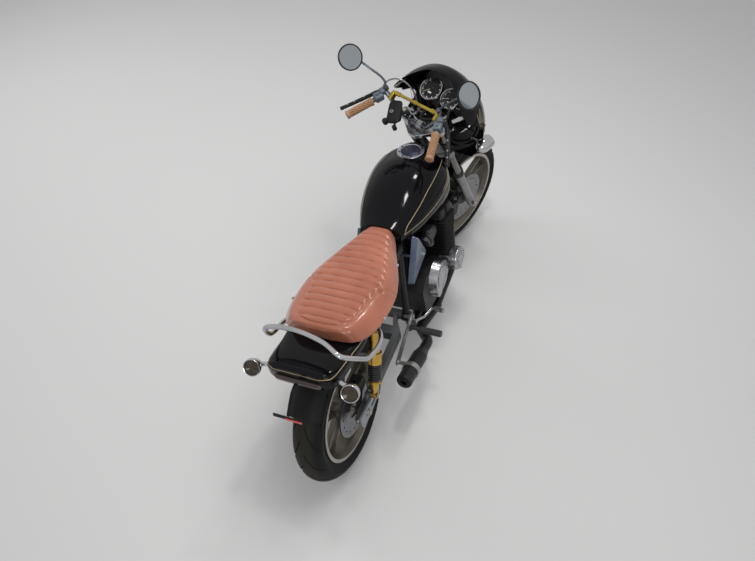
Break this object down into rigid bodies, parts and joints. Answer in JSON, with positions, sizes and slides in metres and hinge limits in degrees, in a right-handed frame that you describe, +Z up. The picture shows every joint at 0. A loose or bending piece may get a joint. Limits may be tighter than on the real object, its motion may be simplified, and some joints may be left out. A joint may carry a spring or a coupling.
{
  "type": "cafe racer motorcycle",
  "caption": "Cafe racer motorcycle parked on its side stand, with a rocket fairing, a finned engine, a ribbed tan seat and cast wheels.",
  "frame": {"origin": "middle of the bounding box on the floor under the parked motorcycle", "axes": "+X forward along the motorcycle, +Y to the rider's left, +Z up; the motorcycle leans to +Y on its side stand and its steering is turned towards -Y"},
  "size_m": [2.0805, 0.789, 1.3121],
  "materials": {
    "black_plastic": "matte",
    "shock_gold": "metallic",
    "hose": "braided",
    "carb_alloy": "cast",
    "polished_alloy": "polished",
    "frame_black": "satin",
    "engine_dark": "cast, dark painted",
    "steel": "brushed",
    "engine_alloy": "cast",
    "chrome": "mirror",
    "tank_black": "gloss",
    "rubber": "matte",
    "fork_alloy": "brushed",
    "fork_tube": "polished",
    "caliper": "satin",
    "disc": "brushed",
    "indicator": "gloss",
    "tyre": "matte",
    "wheel_bronze": "satin",
    "grip_tan": "matte",
    "clock": "polished",
    "mirror_black": "gloss",
    "muffler_black": "satin",
    "seat_leather": "soft",
    "cover_black": "gloss",
    "swingarm_grey": "satin",
    "lamp_red": "gloss"
  },
  "bodies": {
    "chassis": {"airbox": "black_plastic", "carburettors": "carb_alloy", "clutch_cover": "polished_alloy", "cylinder_block": "engine_dark", "cylinder_head": "engine_dark", "drive_chain": "steel", "engine_cases": "engine_alloy", "exhaust_headers": "chrome", "filler_cap": "polished_alloy", "foot_controls": "polished_alloy", "footpegs": "rubber", "frame_cradle_left": "frame_black", "frame_cradle_right": "frame_black", "frame_spine": "frame_black", "fuel_tank": "tank_black", "grab_rail": "chrome", "ignition_cover": "polished_alloy", "left_covers": "polished_alloy", "muffler": "muffler_black", "muffler_hanger": "steel", "plate_bracket": "frame_black", "rear_axle": "steel", "rear_caliper": "caliper", "rear_indicators": "indicator", "rear_mudguard": "black_plastic", "rear_shocks": "shock_gold", "seat": "seat_leather", "seat_frame": "frame_black", "side_covers": "cover_black", "swingarm": "swingarm_grey", "tail_cowl": "tank_black", "tail_lamp": "lamp_red"},
    "front_wheel": {"front_discs": "disc", "front_tyre": "tyre", "front_wheel": "wheel_bronze"},
    "rear_wheel": {"rear_disc": "disc", "rear_sprocket": "steel", "rear_tyre": "tyre", "rear_wheel": "wheel_bronze"},
    "side_stand": {"side_stand": "frame_black"},
    "steering": {"brace_bar": "shock_gold", "brake_hose": "hose", "control_levers": "frame_black", "fairing": "tank_black", "fork_sliders": "fork_alloy", "fork_tubes": "fork_tube", "front_axle": "steel", "front_calipers": "caliper", "front_indicators": "indicator", "front_mudguard": "tank_black", "grips": "grip_tan", "handlebar": "frame_black", "headlamp": "chrome", "instruments": "clock", "lamp_ears": "frame_black", "lower_yoke": "fork_alloy", "mirrors": "mirror_black", "phone_holder": "black_plastic", "switch_blocks": "carb_alloy", "top_yoke": "polished_alloy"}
  },
  "joints": [
    {"name": "steering", "type": "hinge", "parent": "chassis", "child": "steering", "pos_m": [0.46332, -0.03399, 0.75408], "axis": [-0.4397, 0.1637, 0.8831], "range_deg": [-12, 54]},
    {"name": "front_wheel_spin", "type": "hinge", "parent": "steering", "child": "front_wheel", "pos_m": [0.73844, -0.13455, 0.31597], "axis": [0.3219, 0.9467, -0.0152], "continuous": true},
    {"name": "rear_wheel_spin", "type": "hinge", "parent": "chassis", "child": "rear_wheel", "pos_m": [-0.7184, -0.11486, 0.31774], "axis": [0, 0.9833, -0.1822], "continuous": true},
    {"name": "side_stand_fold", "type": "hinge", "parent": "chassis", "child": "side_stand", "pos_m": [-0.12825, 0.0212, 0.1958], "axis": [0.1544, 0.874, 0.4607], "range_deg": [0, 98]}
  ]
}
